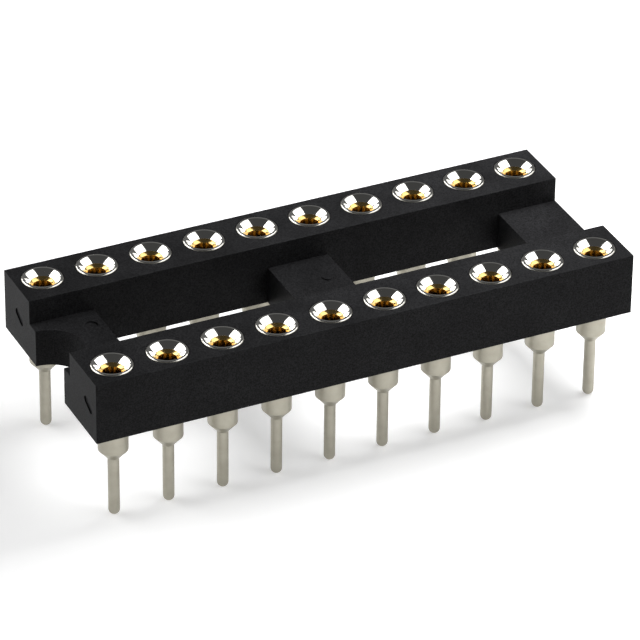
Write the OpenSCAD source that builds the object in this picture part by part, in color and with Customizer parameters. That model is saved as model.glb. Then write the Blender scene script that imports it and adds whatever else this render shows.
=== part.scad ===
// Dual in-line socket for an integrated circuit, with turned contacts.
//
// One moulded insulator carries two rows of turned sleeves. Each sleeve is
// pressed in from above until its head seats in the countersunk hole, and
// holds a four-finger spring clip that grips the lead of the circuit.
//
// Frame: millimetres. The origin is the centre of the contact pattern, at the
// level where the shoulder of a sleeve runs out into its solder tail. +X runs
// along the rows, away from the end with the notch. +Z leaves the contact
// mouths. Contact 1 is the first of the -Y row at the notched end, and the
// numbers go round the socket.

/* [Contact pattern] */
// Contacts in each row
contacts_per_row = 10; // [6:1:14]
// Distance between neighbouring contacts of a row
pitch = 2.54; // [2.3:0.01:2.8]
// Distance between the two rows
row_spacing = 7.62; // [7.2:0.01:10.2]

/* [Body] */
// Height of the body, from its underside to the tops of its rails
body_h = 2.9; // [2.4:0.05:3.6]
// Body left beyond the first and the last contact of a row
end_margin = 1.27; // [1.15:0.01:1.6]
// Rail outside the line of its contacts
rail_outer = 1.27; // [1.15:0.01:1.8]
// Rail inside the line of its contacts
rail_inner = 1.57; // [1.15:0.01:1.8]
// How far the bridges lie below the tops of the rails
bridge_drop = 1.15; // [0.6:0.05:1.6]
// Length of the bridge at the notched end
notch_bridge_l = 3; // [2.4:0.05:3.6]
// Length of the bridge in the middle
mid_bridge_l = 2.9; // [1.5:0.05:3.6]
// Length of the bridge at the plain end
plain_bridge_l = 2.85; // [1.5:0.05:3.6]
// Radius of the half-round notch
notch_r = 1.58; // [0.8:0.02:1.7]
// Rounding of the notch's upper edge
notch_edge_r = 0.2; // [0.05:0.01:0.3]
// Rounding of the long upper edges of the rails
rail_edge_r = 0.15; // [0.05:0.01:0.2]
// Rounding of the upright corners of the body
corner_r = 0.15; // [0.05:0.01:0.4]
// Rounding of the upright corners of the windows
window_corner_r = 0.12; // [0.05:0.01:0.5]

/* [Mould marks] */
// Depth of the gate marks and of the ejector dimple
mark_depth = 0.06; // [0.02:0.01:0.12]
// Length of a gate mark on the end of a rail
gate_mark_l = 0.9; // [0.5:0.05:1.2]
// Width of a gate mark
gate_mark_w = 0.34; // [0.2:0.02:0.5]
// Tilt of a gate mark
gate_mark_tilt = 28; // [0:1:60]
// Radius of the ejector dimple in the notched bridge
dimple_r = 0.3; // [0.15:0.01:0.4]
// Radius of the gate stub on the middle bridge
stub_r = 0.22; // [0.1:0.01:0.4]
// Height of the gate stub
stub_h = 0.05; // [0.02:0.01:0.1]

/* [Sleeve] */
// Air under the body, down to the lower end of the shoulders
stand_off = 1.76; // [1.3:0.02:2.6]
// Length of the solder tail below the shoulder
tail_l = 2.87; // [2.4:0.01:3.6]
// Diameter of the solder tail
tail_d = 0.51; // [0.4:0.01:0.6]
// Diameter of the barrel
barrel_d = 1.32; // [1.28:0.01:1.4]
// Height of the cone between barrel and tail
shoulder_h = 0.42; // [0.2:0.02:0.6]
// Chamfer on the lower edge of the barrel
barrel_edge = 0.05; // [0.02:0.01:0.1]
// Diameter of the shank that is pressed into the body
shank_d = 1.5; // [1.44:0.01:1.56]
// Length of the pressed part of the shank
shank_l = 1.1; // [0.6:0.05:1.3]
// Diameter of the head
head_d = 1.83; // [1.76:0.01:1.96]
// Height of the head's cylinder
head_h = 0.3; // [0.15:0.01:0.4]
// How far the head stands proud of the rail
head_proud = 0.03; // [0:0.01:0.1]
// Chamfer on the outer edge of the head
head_edge = 0.04; // [0.01:0.01:0.06]
// Width of the flat lip round the mouth
lip_w = 0.09; // [0.05:0.01:0.14]
// Diameter of the bore that holds the clip
bore_d = 1.06; // [1:0.01:1.12]
// Solid metal between the floor of the bore and the shoulder
floor_t = 0.6; // [0.4:0.05:0.8]

/* [Clip] */
// Wall of the clip at its fingers
clip_wall = 0.07; // [0.05:0.01:0.1]
// Length of the clip's collar, above its fingers
collar_l = 0.5; // [0.35:0.05:0.7]
// Diameter inside the lower edge of the flared mouth
flare_d = 0.8; // [0.7:0.01:0.86]
// Length of the fingers, from the collar to where they grip
finger_l = 0.8; // [0.6:0.05:1]
// Diameter between the fingers where they grip
grip_d = 0.38; // [0.3:0.01:0.44]
// Length of the fingers' ends, which open again
finger_end_l = 0.25; // [0.15:0.05:0.35]
// How far a finger's end opens
finger_end_out = 0.06; // [0.03:0.01:0.08]
// Width of the slits between the fingers
slit_w = 0.12; // [0.08:0.01:0.16]
// Turn of each clip against the one before it
clip_turn = 37; // [0:1:89]

/* [Fits] */
// Gap round the head in its counterbore
head_gap = 0.02; // [0.01:0.01:0.04]
// Gap round the barrel in the lower hole
barrel_gap = 0.03; // [0.01:0.01:0.05]
// Space left under the end of the shank
shank_end_gap = 0.1; // [0.02:0.02:0.2]

/* [Hidden] */
$fn = 64;
// how far a cutting shape runs past the face that it opens
past = 0.5;
drill_point_angle = 118;

contact_count = 2*contacts_per_row;
body_l = (contacts_per_row - 1)*pitch + 2*end_margin;
body_w = row_spacing + 2*rail_outer;
window_w = row_spacing - 2*rail_inner;
notch_x = -body_l/2;
windows = [
    [notch_x + notch_bridge_l, -mid_bridge_l/2],
    [mid_bridge_l/2, body_l/2 - plain_bridge_l]
];

body_z = stand_off;
rail_z = body_z + body_h;
bridge_z = rail_z - bridge_drop;

tail_r = tail_d/2;
barrel_r = barrel_d/2;
shank_r = shank_d/2;
head_r = head_d/2;
bore_r = bore_d/2;
clip_r = bore_r;
mouth_r = head_r - head_edge - lip_w;

// levels of the sleeve, from its mouth downwards; its cones fall at 45 degrees
sleeve_z = rail_z + head_proud;
bore_z = sleeve_z - (mouth_r - bore_r);
head_z = rail_z - head_h;
shank_z = head_z - (head_r - shank_r);
shank_end_z = shank_z - shank_l;
barrel_z = shank_end_z - (shank_r - barrel_r);
bore_floor_z = shoulder_h + floor_t;
bore_point_z = bore_floor_z - bore_r/tan(drill_point_angle/2);

// levels of the clip, whose collar starts where the bore does
collar_z = bore_z - collar_l;
grip_z = collar_z - finger_l;
clip_end_z = grip_z - finger_end_l;
slit_z = collar_z + collar_l/3;

function two_digits(i) = str(i < 10 ? "0" : "", i);
function sleeve_name(i) = str("sleeve_", two_digits(i));
function clip_name(i) = str("clip_", two_digits(i));

// Place of contact i: out along the -Y row, and back along the +Y row
function contact_at(i) = i <= contacts_per_row
    ? [(i - 1)*pitch - body_l/2 + end_margin, -row_spacing/2]
    : [(contact_count - i)*pitch - body_l/2 + end_margin, row_spacing/2];

// A bar on the XY plane, centred, with rounded upright corners
module rounded_bar(size, r) {
    translate([-size.x/2 + r, -size.y/2, 0]) cube([size.x - 2*r, size.y, size.z]);
    translate([-size.x/2, -size.y/2 + r, 0]) cube([size.x, size.y - 2*r, size.z]);
    for (x = [-1, 1], y = [-1, 1])
        translate([x*(size.x/2 - r), y*(size.y/2 - r), 0]) cylinder(r = r, h = size.z);
}

// What a rounding takes off a square edge at the origin. The solid fills the
// quarter below the edge, on its -X side.
module edge_waste(r) {
    difference() {
        translate([-r, -r]) square(r + past);
        translate([-r, -r]) circle(r);
    }
}

// Waste along a rail's upper edge at this y; side is where the air is
module rail_edge(y, side) {
    translate([-body_l/2 - past, y, rail_z]) rotate([90, 0, 90])
        linear_extrude(body_l + 2*past) scale([side, 1]) edge_waste(rail_edge_r);
}

module rail_edges() {
    for (side = [-1, 1]) {
        rail_edge(side*body_w/2, side);
        rail_edge(side*window_w/2, -side);
    }
}

// The gap over the bridges, and the two windows between them
module openings() {
    translate([-body_l/2 - past, -window_w/2, bridge_z])
        cube([body_l + 2*past, window_w, bridge_drop + past]);
    for (span = windows)
        translate([(span[0] + span[1])/2, 0, body_z - past])
            rounded_bar([span[1] - span[0], window_w, bridge_z - body_z + 2*past], window_corner_r);
}

module notch() {
    translate([notch_x, 0, body_z - past]) cylinder(r = notch_r, h = body_h + past);
    translate([notch_x, 0, bridge_z]) rotate_extrude()
        translate([notch_r, 0]) mirror([1, 0]) edge_waste(notch_edge_r);
}

// The stepped hole that a sleeve is pressed into: clear of the barrel, line to
// line with the shank and the cone under the head, clear of the head's rim
module sleeve_hole() {
    barrel_hole_r = barrel_r + barrel_gap;
    step_z = shank_end_z - shank_end_gap;
    rotate_extrude() polygon([
        [0, body_z - past],
        [barrel_hole_r, body_z - past],
        [barrel_hole_r, step_z - (shank_r - barrel_hole_r)],
        [shank_r, step_z],
        [shank_r, shank_z],
        [head_r + head_gap, head_z + head_gap],
        [head_r + head_gap, rail_z + past],
        [0, rail_z + past]
    ]);
}

// A round-ended shallow mark in the end face of a rail
module gate_mark(y) {
    straight = gate_mark_l - gate_mark_w;
    translate([-body_l/2 - past, y, rail_z - body_h/2]) rotate([90, 0, 90])
        linear_extrude(past + mark_depth) rotate(gate_mark_tilt) {
            square([straight, gate_mark_w], center = true);
            for (end = [-1, 1]) translate([end*straight/2, 0]) circle(d = gate_mark_w);
        }
}

module mould_marks() {
    for (side = [-1, 1]) gate_mark(side*row_spacing/2 - rail_inner/4);
    translate([notch_x + notch_bridge_l - 2*dimple_r, window_w/4, bridge_z - mark_depth])
        cylinder(r = dimple_r, h = mark_depth + past);
}

module housing() {
    color("#26272a") {
        difference() {
            translate([0, 0, body_z]) rounded_bar([body_l, body_w, body_h], corner_r);
            openings();
            notch();
            rail_edges();
            mould_marks();
            for (i = [1:contact_count]) at_contact(i) sleeve_hole();
        }
        translate([mid_bridge_l/5, window_w/10, bridge_z]) cylinder(r = stub_r, h = stub_h);
    }
}

// One turned piece: head, pressed shank, barrel, shoulder cone and solder tail
module sleeve() {
    color("#b9b5a8") difference() {
        rotate_extrude() {
            polygon([
                [0, tail_r - tail_l],
                [tail_r, tail_r - tail_l],
                [tail_r, 0],
                [barrel_r - barrel_edge, shoulder_h],
                [barrel_r, shoulder_h + barrel_edge],
                [barrel_r, barrel_z],
                [shank_r, shank_end_z],
                [shank_r, shank_z],
                [head_r, head_z],
                [head_r, sleeve_z - head_edge],
                [head_r - head_edge, sleeve_z],
                [0, sleeve_z]
            ]);
            translate([0, tail_r - tail_l]) intersection() {
                circle(tail_r);
                translate([0, -tail_r]) square([tail_r, tail_r]);
            }
        }
        rotate_extrude() polygon([
            [0, bore_point_z],
            [bore_r, bore_floor_z],
            [bore_r, bore_z],
            [mouth_r + past, sleeve_z + past],
            [0, sleeve_z + past]
        ]);
    }
}

// The spring inside: a collar with a flared mouth, and four fingers that close
// to the grip and open again at their ends
module clip() {
    flare_r = flare_d/2;
    grip_r = grip_d/2;
    color("#d9a93f") difference() {
        rotate_extrude() polygon([
            [clip_r, bore_z],
            [flare_r, bore_z - (clip_r - flare_r)],
            [grip_r, grip_z],
            [grip_r + finger_end_out, clip_end_z],
            [grip_r + finger_end_out + clip_wall, clip_end_z],
            [grip_r + clip_wall, grip_z],
            [clip_r, collar_z]
        ]);
        for (turn = [0, 90]) rotate(turn)
            translate([-bore_r - past, -slit_w/2, clip_end_z - past])
                cube([2*(bore_r + past), slit_w, slit_z - clip_end_z + past]);
    }
}

// Puts what follows at the place of contact i
module at_contact(i) {
    translate(concat(contact_at(i), [0])) children();
}

housing();
for (i = [1:contact_count]) {
    at_contact(i) sleeve();
    at_contact(i) rotate(i*clip_turn) clip();
}
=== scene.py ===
# %% [markdown]
# # A socket for an integrated circuit
# The real part is a black moulded insulator with two rows of turned contacts pressed into it. Each contact
# is a tin-plated sleeve, and inside it sits a gold-plated spring with four fingers.
# The construction is already settled in the packed frame. This lesson dresses that frame: it models each
# kind of piece again with the small roundings that catch light, gives it a finish made of nodes, and lights it.

# %% Load the frame
import math

import bmesh
import bpy
from mathutils import Matrix, Vector


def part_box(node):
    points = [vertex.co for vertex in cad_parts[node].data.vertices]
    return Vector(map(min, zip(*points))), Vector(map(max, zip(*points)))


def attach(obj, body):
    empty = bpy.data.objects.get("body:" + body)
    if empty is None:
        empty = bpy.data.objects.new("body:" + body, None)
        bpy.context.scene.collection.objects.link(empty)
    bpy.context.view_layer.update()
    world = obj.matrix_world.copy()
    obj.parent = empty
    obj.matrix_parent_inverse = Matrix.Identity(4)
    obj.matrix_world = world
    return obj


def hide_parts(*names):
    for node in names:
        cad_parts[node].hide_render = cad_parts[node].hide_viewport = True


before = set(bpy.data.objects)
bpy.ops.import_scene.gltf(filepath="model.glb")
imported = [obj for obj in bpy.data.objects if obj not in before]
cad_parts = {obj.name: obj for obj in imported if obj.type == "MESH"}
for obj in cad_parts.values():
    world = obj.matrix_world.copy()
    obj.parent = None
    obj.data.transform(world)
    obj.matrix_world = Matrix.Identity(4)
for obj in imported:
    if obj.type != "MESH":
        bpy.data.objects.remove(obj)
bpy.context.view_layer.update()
MM = 0.001

# %% [markdown]
# ## Where the contacts stand
# A piece is placed by the frame and never by eye. The boxes of three sleeves say how far apart the contacts
# of a row are and how far apart the rows are, so the grid follows the frame if the frame changes.

# %% Measure the contact grid
sleeve_names = sorted(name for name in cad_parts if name.startswith("sleeve_"))
clip_names = sorted(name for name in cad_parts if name.startswith("clip_"))


def middle(node):
    low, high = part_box(node)
    return (low + high) / 2


contact_count = len(sleeve_names)
contacts_per_row = contact_count // 2
pitch = middle(sleeve_names[1]).x - middle(sleeve_names[0]).x
row_spacing = middle(sleeve_names[-1]).y - middle(sleeve_names[0]).y
body_low, body_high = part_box("housing")
sleeve_low, sleeve_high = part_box(sleeve_names[0])
rail_z = body_high.z
rim_z = sleeve_high.z
tip_z = sleeve_low.z
print(contact_count, "contacts, pitch", round(pitch / MM, 3), "row spacing", round(row_spacing / MM, 3))

# %% [markdown]
# ## The camera
# A small part is best shown from far off through a long lens, so that its parallel edges stay nearly
# parallel. The camera looks down on the notched end from the left, and it is turned a little about its own
# axis.

# %% Set up the camera
camera_azimuth = math.radians(-25.526)
camera_elevation = math.radians(31.972)
camera_roll = math.radians(0.615)
camera_distance = 209.684 * MM
aim_drop = 2.503 * MM

towards_camera = Vector((
    math.sin(camera_azimuth) * math.cos(camera_elevation),
    -math.cos(camera_azimuth) * math.cos(camera_elevation),
    math.sin(camera_elevation),
))
level_right = Vector((0, 0, 1)).cross(towards_camera).normalized()
level_up = towards_camera.cross(level_right)
camera_right = level_right * math.cos(camera_roll) + level_up * math.sin(camera_roll)
camera_up = level_up * math.cos(camera_roll) - level_right * math.sin(camera_roll)

camera = bpy.data.objects.new("camera", bpy.data.cameras.new("camera"))
camera.data.sensor_width = 36
camera.data.lens = 272.06
camera.data.clip_end = 10
aim = Vector((0, 0, rim_z)) - camera_up * aim_drop
camera.matrix_world = Matrix.Translation(aim + towards_camera * camera_distance) @ Matrix(
    (camera_right, camera_up, towards_camera)
).transposed().to_4x4()
bpy.context.scene.collection.objects.link(camera)
bpy.context.scene.camera = camera
bpy.context.scene.view_settings.view_transform = "Standard"
print("camera at, mm:", [round(place / MM, 1) for place in camera.location])

# %% [markdown]
# ## Shader maths as plain expressions
# A finish is a graph of nodes, and a graph built call by call is hard to read. Here one small class stands
# for the output of a node. Its operators are overloaded, so `1 - wear * 0.5` adds the nodes that work it
# out. Numbers use Math nodes, vectors use Vector Math and colours use Mix, since Math would turn them grey.

# %% Define graphs and values
class Value:
    """The output of a node, which can be added, multiplied and so on."""

    def __init__(self, graph, socket):
        self.graph = graph
        self.socket = socket

    def combined(self, operation, first, second):
        kinds = {value.socket.type for value in (first, second) if isinstance(value, Value)}
        if "RGBA" in kinds:
            return self.graph.node(
                "ShaderNodeMix",
                {"data_type": "RGBA", "blend_type": operation},
                {0: 1, 6: first, 7: second},
                output=2,
            )
        kind = "ShaderNodeVectorMath" if "VECTOR" in kinds else "ShaderNodeMath"
        if kind == "ShaderNodeVectorMath":
            first, second = (
                (value,) * 3 if isinstance(value, (int, float)) else value for value in (first, second)
            )
        return self.graph.node(kind, {"operation": operation}, {0: first, 1: second})

    def __add__(self, other):
        return self.combined("ADD", self, other)

    def __sub__(self, other):
        return self.combined("SUBTRACT", self, other)

    def __rsub__(self, other):
        return self.combined("SUBTRACT", other, self)

    def __mul__(self, other):
        return self.combined("MULTIPLY", self, other)

    def __truediv__(self, other):
        return self.combined("DIVIDE", self, other)

    __radd__ = __add__
    __rmul__ = __mul__


class Graph:
    """A node tree that is filled by node()."""

    def __init__(self, tree):
        self.tree = tree
        tree.nodes.clear()

    def node(self, kind, settings=None, sockets=None, output=0):
        node = self.tree.nodes.new(kind)
        for name, setting in (settings or {}).items():
            if name == "stops":
                self.set_stops(node.color_ramp, setting)
            else:
                setattr(node, name, setting)
        for key, value in (sockets or {}).items():
            if isinstance(value, Value):
                self.tree.links.new(value.socket, node.inputs[key])
            else:
                node.inputs[key].default_value = value
        return Value(self, node.outputs[output]) if node.outputs else None

    @staticmethod
    def set_stops(ramp, stops):
        while len(ramp.elements) < len(stops):
            ramp.elements.new(0.5)
        for element, (position, level) in zip(ramp.elements, stops):
            element.position = position
            element.color = (*level, 1) if isinstance(level, tuple) else (level, level, level, 1)


def srgb(red, green, blue):
    """A colour from its screen levels of 0 to 255, as the linear values that a shader wants."""
    levels = (level / 255 for level in (red, green, blue))
    return (*(level / 12.92 if level < 0.04045 else ((level + 0.055) / 1.055) ** 2.4 for level in levels), 1)


print("operators ready:", sorted(name for name in vars(Value) if name.startswith("__r")))

# %% [markdown]
# ## The studio
# Bright metal shows what stands round it, so the room matters as much as the finish. Two large soft boxes
# stand low, one at the right and one at the back left, each with a narrow one beside it, in a dim room with
# a darker ceiling. Each mouth then has two white flanks and a dark wedge at the far side. The gap beside a
# narrow box only breaks the edge of a flank a little. A small lamp close above makes the matte plastic
# paler towards the right end.

# %% Light the world
room = bpy.data.worlds.new("room")
room.use_nodes = True
bpy.context.scene.world = room
graph = Graph(room.node_tree)
direction = graph.node("ShaderNodeTexCoord", output="Generated")
height = graph.node("ShaderNodeSeparateXYZ", sockets={0: direction}, output=2)
wall_level = graph.node(
    "ShaderNodeValToRGB",
    {"stops": [(0, 0.14), (0.12, 0.12), (0.55, 0.13), (0.7, 0.05)]},
    {0: height},
)
background = graph.node("ShaderNodeBackground", sockets={"Color": wall_level, "Strength": 1})
graph.node("ShaderNodeOutputWorld", sockets={0: background})


def softbox(name, azimuth, elevation, distance, width, height, radiance):
    """A rectangular lamp at that bearing from the part, turned to face it."""
    lamp = bpy.data.lights.new(name, "AREA")
    lamp.shape = "RECTANGLE"
    lamp.size = width
    lamp.size_y = height
    lamp.energy = radiance * math.pi * width * height
    holder = bpy.data.objects.new(name, lamp)
    bearing = Vector((
        math.cos(math.radians(azimuth)) * math.cos(math.radians(elevation)),
        math.sin(math.radians(azimuth)) * math.cos(math.radians(elevation)),
        math.sin(math.radians(elevation)),
    ))
    holder.location = bearing * distance
    holder.rotation_euler = bearing.to_track_quat("Z", "Y").to_euler()
    holder.visible_camera = False
    bpy.context.scene.collection.objects.link(holder)
    return holder


softbox("right_softbox", azimuth=-30, elevation=30, distance=0.7, width=0.69, height=0.62, radiance=2.1)
softbox("right_strip", azimuth=9, elevation=26, distance=0.7, width=0.14, height=0.5, radiance=2.1)
softbox("left_softbox", azimuth=148, elevation=25, distance=0.7, width=0.7, height=0.5, radiance=3.3)
softbox("left_strip", azimuth=110, elevation=21, distance=0.7, width=0.11, height=0.4, radiance=3.3)
side_fill = softbox("side_fill", azimuth=5, elevation=60, distance=0.035, width=0.02, height=0.02, radiance=12)
side_fill.visible_glossy = False
print("lamps:", [lamp.name for lamp in bpy.data.lights])

# %% [markdown]
# ## The floor
# The part stands on a pale sheet that runs out of sight. A pale floor is a matter of its colour and not of
# more light on the object, so it adds a little of its own light for what the camera and the metal see.
# What light it lacks under the part is the shadow.

# %% Lay the floor
floor_size = 4.0
floor_mesh = bpy.data.meshes.new("floor")
half = floor_size / 2
floor_mesh.from_pydata(
    [(-half, -half, tip_z), (half, -half, tip_z), (half, half, tip_z), (-half, half, tip_z)], [], [(0, 1, 2, 3)]
)
floor = bpy.data.objects.new("floor", floor_mesh)
bpy.context.scene.collection.objects.link(floor)
paper = bpy.data.materials.new("pale_paper")
paper.use_nodes = True
graph = Graph(paper.node_tree)
own_level = 0.4
seen_by = [
    graph.node("ShaderNodeLightPath", output=f"Is {kind} Ray") for kind in ("Camera", "Glossy", "Transmission")
]
own_light = graph.node("ShaderNodeEmission", sockets={"Strength": (seen_by[0] + seen_by[1] + seen_by[2]) * own_level})
matte = graph.node("ShaderNodeBsdfDiffuse", sockets={"Color": (0.8, 0.8, 0.8, 1)})
surface = graph.node("ShaderNodeAddShader", sockets={0: matte, 1: own_light})
graph.node("ShaderNodeOutputMaterial", sockets={0: surface})
floor_mesh.materials.append(paper)
print("floor at, mm:", round(tip_z / MM, 3))

# %% [markdown]
# ## Finishes
# All three finishes are read in object coordinates, in metres, so their grain has its real size on every
# piece. A helper opens a material and gives back its graph, and another closes it with one shader.

# %% Open and close a finish
def new_finish(name):
    material = bpy.data.materials.new(name)
    material.use_nodes = True
    return material, Graph(material.node_tree)


def close_finish(graph, sockets):
    surface = graph.node("ShaderNodeBsdfPrincipled", sockets=sockets)
    graph.node("ShaderNodeOutputMaterial", sockets={0: surface})


def noise(graph, place, size, detail=2.0):
    """Noise whose features are about this size, in metres."""
    return graph.node("ShaderNodeTexNoise", sockets={"Vector": place, "Scale": 1 / size, "Detail": detail})


# %% [markdown]
# ### Moulded black plastic
# The insulator is a glass-filled polyester, black all through. Its skin copies the fine spark-eroded grain
# of the mould, and the flow of the melt leaves soft cloudy patches. The grain goes into the bump, the clouds
# go into the colour and the gloss.

# %% Make the plastic
moulded_black, graph = new_finish("moulded_black")
place = graph.node("ShaderNodeTexCoord", output="Object")
grain = noise(graph, place, 0.06 * MM, detail=3)
clouds = noise(graph, place, 2.2 * MM)
skin_bump = graph.node("ShaderNodeBump", sockets={"Strength": 0.25, "Distance": 0.006 * MM, "Height": grain})
cloud_shade = graph.node("ShaderNodeMapRange", sockets={0: clouds, 1: 0.3, 2: 0.7, 3: 0.8, 4: 1.2})
grain_shade = graph.node("ShaderNodeMapRange", sockets={0: grain, 1: 0.3, 2: 0.7, 3: 0.4, 4: 1.6})
shade = cloud_shade * grain_shade
plastic_color = graph.node(
    "ShaderNodeVectorMath", {"operation": "SCALE"}, {0: srgb(30, 30, 31)[:3], "Scale": shade}
)
close_finish(graph, {
    "Base Color": plastic_color,
    "Roughness": 0.42 + clouds * 0.16,
    "Specular IOR Level": 0.05,
    "Normal": skin_bump,
})
print("made", moulded_black.name)

# %% [markdown]
# ### Tin plate
# The sleeve is turned from brass rod and plated with tin, which is satin and a little warm outside. The tool
# leaves the cone of the mouth and the flat of its lip almost like a mirror. The mesh carries an attribute,
# polish, that is 1 there, and the finish goes from satin to bright by it.

# %% Make the tin plate
tin, graph = new_finish("tin_plate")
place = graph.node("ShaderNodeTexCoord", output="Object")
polish = graph.node("ShaderNodeAttribute", {"attribute_name": "polish"}, output="Fac")
speckle = noise(graph, place, 0.05 * MM, detail=3)
patches = noise(graph, place, 0.5 * MM)
satin = graph.node(
    "ShaderNodeMix",
    {"data_type": "RGBA"},
    {0: patches, 6: srgb(160, 156, 142), 7: srgb(182, 178, 165)},
    output=2,
)
tin_color = graph.node(
    "ShaderNodeMix", {"data_type": "RGBA"}, {0: polish, 6: satin, 7: srgb(246, 245, 240)}, output=2
)
tin_bump = graph.node(
    "ShaderNodeBump", sockets={"Strength": 0.3 - polish * 0.27, "Distance": 0.004 * MM, "Height": speckle}
)
close_finish(graph, {
    "Base Color": tin_color,
    "Metallic": 1.0,
    "Roughness": (0.38 + speckle * 0.12) * (1 - polish) + polish * 0.07,
    "Normal": tin_bump,
})
print("made", tin.name)

# %% [markdown]
# ### Gold plate
# The spring is stamped from beryllium copper and plated with gold. Its surface is smooth, and where the fingers stand
# close together it lies in shade and looks a deep brown. Light that falls so deep meets the metal many times.
# That alone leaves the fingers too bright, so painted shade also darkens the colour with depth.

# %% Make the gold plate
gold, graph = new_finish("gold_plate")
place = graph.node("ShaderNodeTexCoord", output="Object")
ripple = noise(graph, place, 0.12 * MM)
gold_bump = graph.node("ShaderNodeBump", sockets={"Strength": 0.3, "Distance": 0.004 * MM, "Height": ripple})
level = graph.node("ShaderNodeSeparateXYZ", sockets={0: place}, output=2)
# Painted shade: the gold is darkened with depth down into the fingers, in place of the shade deep in that recess.
painted_depth_shade = graph.node(
    "ShaderNodeMapRange", sockets={0: level, 1: 3.9 * MM, 2: 4.32 * MM, 3: 0.09, 4: 1.0}
)
gold_with_painted_shade = graph.node(
    "ShaderNodeVectorMath", {"operation": "SCALE"}, {0: srgb(228, 194, 122)[:3], "Scale": painted_depth_shade}
)
close_finish(graph, {
    "Base Color": gold_with_painted_shade,
    "Metallic": 1.0,
    "Roughness": 0.12 + ripple * 0.12,
    "Normal": gold_bump,
})
print("made", gold.name)

# %% [markdown]
# ## Turned pieces
# A turned piece is an outline spun round an axis. Lathes leave no knife edge, so each corner of the outline
# is first replaced by a short arc. A point of an outline is its radius, its height and the radius of its
# corner, all in millimetres.

# %% Round an outline and spin it
def built(name, bm):
    """An object in the scene with what was drawn in the bmesh, which is used up."""
    mesh = bpy.data.meshes.new(name)
    bm.to_mesh(mesh)
    bm.free()
    piece = bpy.data.objects.new(name, mesh)
    bpy.context.scene.collection.objects.link(piece)
    return piece


def rounded(outline, steps=3):
    """The outline with an arc in place of each corner that has a radius."""
    points = []
    for index, (radius, level, corner) in enumerate(outline):
        here = Vector((radius, level))
        if not corner:
            points.append(here)
            continue
        before = Vector(outline[index - 1][:2]) - here
        after = Vector(outline[(index + 1) % len(outline)][:2]) - here
        half_angle = before.angle(after) / 2
        reach = corner / math.tan(half_angle)
        centre = here + (before.normalized() + after.normalized()).normalized() * corner / math.sin(half_angle)
        start = here + before.normalized() * reach - centre
        turn = start.angle_signed(here + after.normalized() * reach - centre)
        for step in range(steps + 1):
            angle = -turn * step / steps
            points.append(centre + Matrix.Rotation(angle, 2) @ start)
    return points


def spun(name, outline, segments, polished=None, closed=False):
    """A mesh of the outline spun round the Z axis. Points on the axis become poles."""
    bm = bmesh.new()
    polish = bm.verts.layers.float.new("polish")
    rings = []
    for radius, level in outline:
        count = segments if radius > 1e-6 else 1
        ring = []
        for step in range(count):
            angle = math.tau * step / segments
            vert = bm.verts.new((radius * MM * math.cos(angle), radius * MM * math.sin(angle), level * MM))
            vert[polish] = 1.0 if polished and polished(radius, level) else 0.0
            ring.append(vert)
        rings.append(ring)
    pairs = list(zip(rings, rings[1:] + rings[:1])) if closed else list(zip(rings, rings[1:]))
    for lower, upper in pairs:
        for step in range(segments):
            corners = [lower[step % len(lower)], lower[(step + 1) % len(lower)]]
            corners += [upper[(step + 1) % len(upper)], upper[step % len(upper)]]
            bm.faces.new(list(dict.fromkeys(corners)))
    bmesh.ops.recalc_face_normals(bm, faces=bm.faces)
    for face in bm.faces:
        face.smooth = True
    return built(name, bm)


# %% [markdown]
# ## Twenty of each
# The contacts could be copied by hand, or by a loop. A Geometry Nodes tree says the rule itself: contact
# numbers run out along one row and back along the other. The same tree then places the holes, the sleeves
# and the clips, so they can't drift apart.

# %% Build the contact tree
def contact_tree():
    tree = bpy.data.node_groups.new("contacts", "GeometryNodeTree")
    face = tree.interface
    face.new_socket("Geometry", in_out="OUTPUT", socket_type="NodeSocketGeometry")
    for name, kind in (
        ("Piece", "Object"), ("Contacts per row", "Int"), ("Pitch", "Float"), ("Row spacing", "Float"),
        ("Turn", "Float"), ("Finish", "Material"),
    ):
        face.new_socket(name, in_out="INPUT", socket_type=f"NodeSocket{kind}")
    graph = Graph(tree)
    group = graph.tree.nodes.new("NodeGroupInput")
    given = {socket.name: Value(graph, socket) for socket in group.outputs if socket.name}
    index = graph.node("GeometryNodeInputIndex")
    count = given["Contacts per row"]
    row = graph.node("ShaderNodeMath", {"operation": "FLOOR"}, {0: index / count})
    place_in_row = index + row * (2 * count - 1 - 2 * index)
    along = (place_in_row - (count - 1) / 2) * given["Pitch"]
    across = (row - 0.5) * given["Row spacing"]
    position = graph.node("ShaderNodeCombineXYZ", sockets={0: along, 1: across})
    points = graph.node("GeometryNodePoints", sockets={"Count": 2 * count, "Position": position})
    piece = graph.node("GeometryNodeObjectInfo", sockets={"Object": given["Piece"]}, output="Geometry")
    turn = graph.node("ShaderNodeCombineXYZ", sockets={2: (index + 1) * given["Turn"]})
    copies = graph.node(
        "GeometryNodeInstanceOnPoints", sockets={"Points": points, "Instance": piece, "Rotation": turn}
    )
    real = graph.node("GeometryNodeRealizeInstances", sockets={0: copies})
    finished = graph.node("GeometryNodeSetMaterial", sockets={"Geometry": real, "Material": given["Finish"]})
    graph.node("NodeGroupOutput", sockets={0: finished})
    return tree


contacts = contact_tree()


def at_contacts(name, piece, finish, turn=0.0):
    """One mesh with a copy of the piece at each contact. The single piece is used up."""
    holder = bpy.data.objects.new(name, bpy.data.meshes.new(name))
    bpy.context.scene.collection.objects.link(holder)
    modifier = holder.modifiers.new("contacts", "NODES")
    modifier.node_group = contacts
    values = {
        "Piece": piece, "Contacts per row": contacts_per_row, "Pitch": pitch, "Row spacing": row_spacing,
        "Turn": turn, "Finish": finish,
    }
    for item in contacts.interface.items_tree:
        if item.in_out == "INPUT":
            modifier[item.identifier] = values[item.name]
    settle(holder)
    bpy.data.objects.remove(piece)
    print(name, "has", len(holder.data.polygons), "faces")
    return holder


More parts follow.
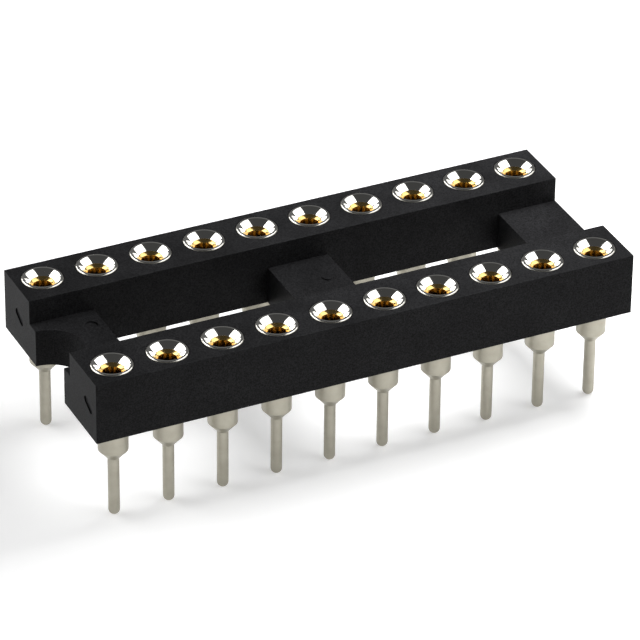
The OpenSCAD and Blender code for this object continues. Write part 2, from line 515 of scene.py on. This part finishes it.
def settle(piece):
    """Puts what the modifiers make into the mesh itself, and takes them off."""
    depsgraph = bpy.context.evaluated_depsgraph_get()
    mesh = bpy.data.meshes.new_from_object(
        piece.evaluated_get(depsgraph), preserve_all_data_layers=True, depsgraph=depsgraph
    )
    piece.modifiers.clear()
    piece.data = mesh
    mesh.name = piece.name


# %% [markdown]
# ## The insulator
# It is one moulding: two rails joined by three low bridges. On a bench it would be milled from a bar, and
# that is the easiest way to model it too: a block, less the gap over the bridges, two windows, a half-round
# notch and twenty stepped holes. Boolean modifiers take the waste away, and one Bevel rounds what is left.

# %% Name the insulator's sizes, in millimetres
rail_inner = 1.57
bridge_drop = 1.15
notch_bridge_l = 3.0
mid_bridge_l = 2.9
plain_bridge_l = 2.85
notch_r = 1.58
body_l = (body_high.x - body_low.x) / MM
body_w = (body_high.y - body_low.y) / MM
body_z = body_low.z / MM
rail_top = rail_z / MM
window_w = row_spacing / MM - 2 * rail_inner
bridge_top = rail_top - bridge_drop
print("insulator, mm:", round(body_l, 3), round(body_w, 3), round(rail_top - body_z, 3))


# %% Define blocks and cuts
def block(name, low, high):
    """A box between two corners, in millimetres."""
    bm = bmesh.new()
    bmesh.ops.create_cube(bm, size=1)
    for vert in bm.verts:
        for axis in range(3):
            vert.co[axis] = (high[axis] if vert.co[axis] > 0 else low[axis]) * MM
    return built(name, bm)


def cut(piece, *wastes, operation="DIFFERENCE"):
    """Takes the wastes off the piece, or adds them to it, and uses them up."""
    for waste in wastes:
        modifier = piece.modifiers.new("cut", "BOOLEAN")
        modifier.operation = operation
        modifier.solver = "EXACT"
        modifier.object = waste
        settle(piece)
        bpy.data.objects.remove(waste)


# %% Cut the insulator out of a bar
past = 0.5
insulator = block("insulator", (-body_l / 2, -body_w / 2, body_z), (body_l / 2, body_w / 2, rail_top))
gap = block(
    "gap", (-body_l / 2 - past, -window_w / 2, bridge_top), (body_l / 2 + past, window_w / 2, rail_top + past)
)
window_spans = [
    (-body_l / 2 + notch_bridge_l, -mid_bridge_l / 2),
    (mid_bridge_l / 2, body_l / 2 - plain_bridge_l),
]
windows = [
    block("window", (start, -window_w / 2, body_z - past), (end, window_w / 2, bridge_top + past))
    for start, end in window_spans
]
notch = spun("notch", [(0, body_z - past), (notch_r, body_z - past), (notch_r, rail_top), (0, rail_top)], 96)
notch.data.transform(Matrix.Translation((body_low.x, 0, 0)))
barrel_hole_r = 0.69
shank_r = 0.75
head_hole_r = 0.935
cone_z = 4.195
hole_outline = [
    (0, body_z - past), (barrel_hole_r, body_z - past), (barrel_hole_r, 2.93), (shank_r, 2.99),
    (shank_r, cone_z), (head_hole_r, 4.38), (head_hole_r, rail_top + past), (0, rail_top + past),
]
holes = at_contacts("holes", spun("hole", hole_outline, 64), moulded_black)
cut(insulator, gap, *windows, notch, holes)

# %% [markdown]
# A mould leaves different roundings: generous ones along the rails, where the part is handled, and hardly
# any elsewhere. Each sharp edge gets a bevel weight by where it lies, and one Bevel modifier reads it.

# %% Round the insulator's edges
largest_rounding = 0.2
rail_rounding = 0.15
corner_rounding = 0.15
window_rounding = 0.12
fine_rounding = 0.03


def rounding_of(start, end):
    """The rounding of the insulator's edge between these points, in millimetres."""
    along = end - start
    half_way = (start + end) / 2
    on_top = abs(half_way.z - rail_top) < 0.01
    if abs(along.x) > 0.9 * along.length and on_top and abs(along.y) < 1e-4:
        return rail_rounding
    if abs(along.z) > 0.9 * along.length and abs(abs(start.y) - body_w / 2) < 0.01:
        return corner_rounding
    in_windows = any(min(abs(half_way.x - end_x) for end_x in span) < 0.01 for span in window_spans)
    if abs(along.z) > 0.9 * along.length and in_windows:
        return window_rounding
    from_notch = Vector((half_way.x + body_l / 2, half_way.y)).length
    if abs(half_way.z - bridge_top) < 0.01 and abs(from_notch - notch_r) < 0.02:
        return largest_rounding
    inside_hole = body_z + 0.01 < half_way.z < rail_top - 0.01 and abs(along.z) < 0.9 * along.length
    if inside_hole and abs(half_way.y) > window_w / 2 + 0.01 and abs(half_way.x) < body_l / 2 - 0.01:
        return 0.0
    return fine_rounding


bm = bmesh.new()
bm.from_mesh(insulator.data)
bmesh.ops.remove_doubles(bm, verts=bm.verts, dist=1e-7)
bmesh.ops.dissolve_limit(bm, angle_limit=math.radians(0.5), verts=bm.verts, edges=bm.edges)
weight = bm.edges.layers.float.new("bevel_weight_edge")
for edge in bm.edges:
    if edge.calc_face_angle(0) > math.radians(30) and edge.is_convex:
        ends = [vert.co / MM for vert in edge.verts]
        edge[weight] = rounding_of(*ends) / largest_rounding
for face in bm.faces:
    face.smooth = True
bm.to_mesh(insulator.data)
bm.free()
bevel = insulator.modifiers.new("rounding", "BEVEL")
bevel.limit_method = "WEIGHT"
bevel.width = largest_rounding * MM
bevel.segments = 4
settle(insulator)
print("rounded insulator has", len(insulator.data.polygons), "faces")

# %% [markdown]
# The mould also leaves its own traces: a shallow gate mark on the end of each rail, the print of an ejector
# pin in the notched bridge, and the stub of a gate on the middle one. They are cut and added like the rest.

# %% Leave the mould's marks
mark_depth = 0.06
gate_mark_l = 0.9
gate_mark_w = 0.34
gate_mark_tilt = math.radians(28)
dimple_r = 0.3
stub_r = 0.22
stub_h = 0.05


def disc(name, radius, low, high, centre):
    """A short upright cylinder at this centre, in millimetres."""
    piece = spun(name, [(0, low), (radius, low), (radius, high), (0, high)], 48)
    piece.data.transform(Matrix.Translation((centre[0] * MM, centre[1] * MM, 0)))
    return piece


def gate_mark(row):
    """The waste of a round-ended mark in the end face of the rail on that side."""
    bm = bmesh.new()
    straight = gate_mark_l - gate_mark_w
    outline = []
    for side in (1, -1):
        for step in range(13):
            angle = math.pi * (step / 12 - 0.5) + (0 if side == 1 else math.pi)
            across = side * straight / 2 + gate_mark_w / 2 * math.cos(angle)
            outline.append((across, gate_mark_w / 2 * math.sin(angle)))
    turn = Matrix.Rotation(gate_mark_tilt, 2)
    centre = Vector((row * row_spacing / MM / 2 - rail_inner / 4, (rail_top + body_z) / 2))
    rings = []
    for x in (-body_l / 2 - past, -body_l / 2 + mark_depth):
        spots = [turn @ Vector(point) + centre for point in outline]
        rings.append([bm.verts.new((x * MM, spot.x * MM, spot.y * MM)) for spot in spots])
    bm.faces.new(rings[0])
    bm.faces.new(reversed(rings[1]))
    for step in range(len(outline)):
        after = (step + 1) % len(outline)
        bm.faces.new((rings[0][after], rings[0][step], rings[1][step], rings[1][after]))
    bmesh.ops.recalc_face_normals(bm, faces=bm.faces)
    return built("gate_mark", bm)


dimple_at = (-body_l / 2 + notch_bridge_l - 2 * dimple_r, window_w / 4)
stub_at = (mid_bridge_l / 5, window_w / 10)
dimple = disc("dimple", dimple_r, bridge_top - mark_depth, bridge_top + past, dimple_at)
cut(insulator, dimple, gate_mark(-1), gate_mark(1))
stub = disc("stub", stub_r, bridge_top - 0.02, bridge_top + stub_h, stub_at)
cut(insulator, stub, operation="UNION")

# %% [markdown]
# The roundings join the flat faces smoothly, so all is shaded smooth but for the sharp edges of the marks. A
# large flat face should stay flat to its very edge: the Weighted Normal modifier lets the larger face decide
# the normals along the edge that it shares with a rounding.

# %% Shade the insulator
insulator.data.set_sharp_from_angle(angle=math.radians(40))
insulator.modifiers.new("flat_faces", "WEIGHTED_NORMAL").keep_sharp = True
settle(insulator)
insulator.data.materials.clear()
insulator.data.materials.append(moulded_black)
print("finished insulator has", len(insulator.data.polygons), "faces")

# %% [markdown]
# ## The sleeves
# One bar of brass makes the head, the pressed shank, the barrel and the solder tail, so one outline makes
# them too. It starts at the bottom of the drilled bore, goes up and over the lip of the mouth, and comes down
# the outside to the tip of the tail.

# %% Turn one sleeve and place twenty
tail_r = 0.255
tail_end = tip_z / MM
barrel_r = 0.66
bore_r = 0.53
mouth_z = 4.435
head_r = 0.915
rim = rim_z / MM
sleeve_outline = [
    (0, 0.70, 0), (bore_r, 1.02, 0.03), (bore_r, mouth_z, 0.01), (0.785, rim, 0.008), (0.875, rim, 0.012),
    (head_r, rim - 0.04, 0.012), (head_r, 4.36, 0.03), (shank_r, cone_z, 0.02), (shank_r, 3.095, 0.02),
    (barrel_r, 3.005, 0.02), (barrel_r, 0.47, 0.025), (0.61, 0.42, 0.03), (tail_r, 0, 0.05),
    (tail_r, tail_end + tail_r, 0),
]
tip = [
    Vector((tail_r * math.cos(math.radians(angle)), tail_end + tail_r - tail_r * math.sin(math.radians(angle))))
    for angle in range(15, 90, 15)
]
sleeve_points = rounded(sleeve_outline) + tip + [Vector((0, tail_end))]


def in_the_mouth(radius, level):
    """Whether the tool has polished the sleeve here: the cone and the flat of its lip."""
    return radius < 0.88 and level > 4.0


sleeve = spun("sleeve", sleeve_points, 64, polished=in_the_mouth)
sleeves = at_contacts("sleeves", sleeve, tin)

# %% [markdown]
# ## The clips
# The spring is rolled from a stamped blank: a collar with a flared mouth, and four fingers that close on the
# lead. Spinning the section and sawing a cross out of its lower part gives the same form as rolling the
# blank, and is far less to write.

# %% Turn and slit one clip and place twenty
clip_turn = math.radians(37)
slit_w = 0.12
slit_top = 4.10
clip_outline = [
    (bore_r, mouth_z, 0.01), (0.40, 4.305, 0.03), (0.19, 3.135, 0.1), (0.25, 2.885, 0.01), (0.32, 2.885, 0.01),
    (0.26, 3.135, 0.1), (bore_r, 3.935, 0.03),
]
clip = spun("clip", rounded(clip_outline, steps=4), 64, closed=True)
saw_reach = 0.9
saw_from_z = 2.4
slits = [
    block("slit", (-saw_reach, -slit_w / 2, saw_from_z), (saw_reach, slit_w / 2, slit_top)),
    block("slit", (-slit_w / 2, -saw_reach, saw_from_z), (slit_w / 2, saw_reach, slit_top)),
]
cut(clip, *slits)
clip.data.set_sharp_from_angle(angle=math.radians(35))
clips = at_contacts("clips", clip, gold, turn=clip_turn)

# %% [markdown]
# ## Hand the pieces to the frame
# Each piece now rides on the root body, and the frame's nodes that it stands for are hidden.

# %% Ride and replace
for piece, nodes, slot in (
    (insulator, ["housing"], "insulator"), (sleeves, sleeve_names, "tin_plate"), (clips, clip_names, "gold_plate")
):
    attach(piece, "root")
    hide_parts(*nodes)
